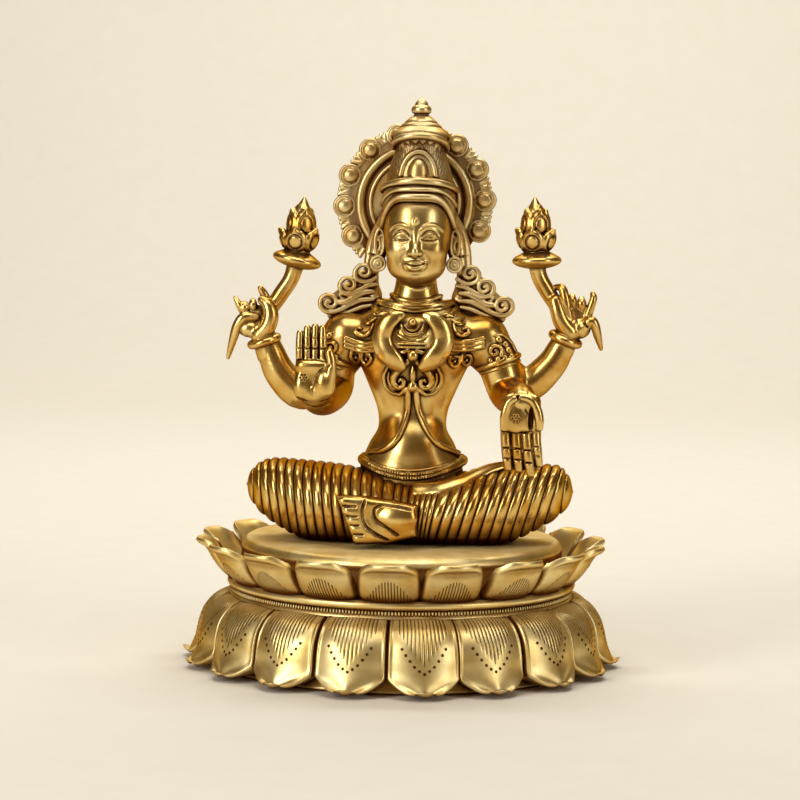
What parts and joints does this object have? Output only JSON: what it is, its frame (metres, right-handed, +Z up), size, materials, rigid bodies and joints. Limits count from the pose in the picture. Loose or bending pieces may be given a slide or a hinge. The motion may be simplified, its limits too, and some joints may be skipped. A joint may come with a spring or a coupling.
{
  "type": "lakshmi figure",
  "caption": "Four-armed Lakshmi in cast brass, seated cross-legged with lotus buds on a double lotus plinth, a free-standing shrine or table figure.",
  "frame": {"origin": "middle of the plinth's flat underside", "axes": "+Z up, the figure faces -Y, +X towards her left hand"},
  "size_m": [0.244, 0.2402, 0.3103],
  "materials": {
    "figure_brass": "polished cast brass with dark patina left in the recesses",
    "plinth_brass": "satin cast brass, hand chased and punched"
  },
  "bodies": {
    "root": {"lakshmi_figure": "figure_brass", "lotus_plinth": "plinth_brass"}
  },
  "joints": []
}
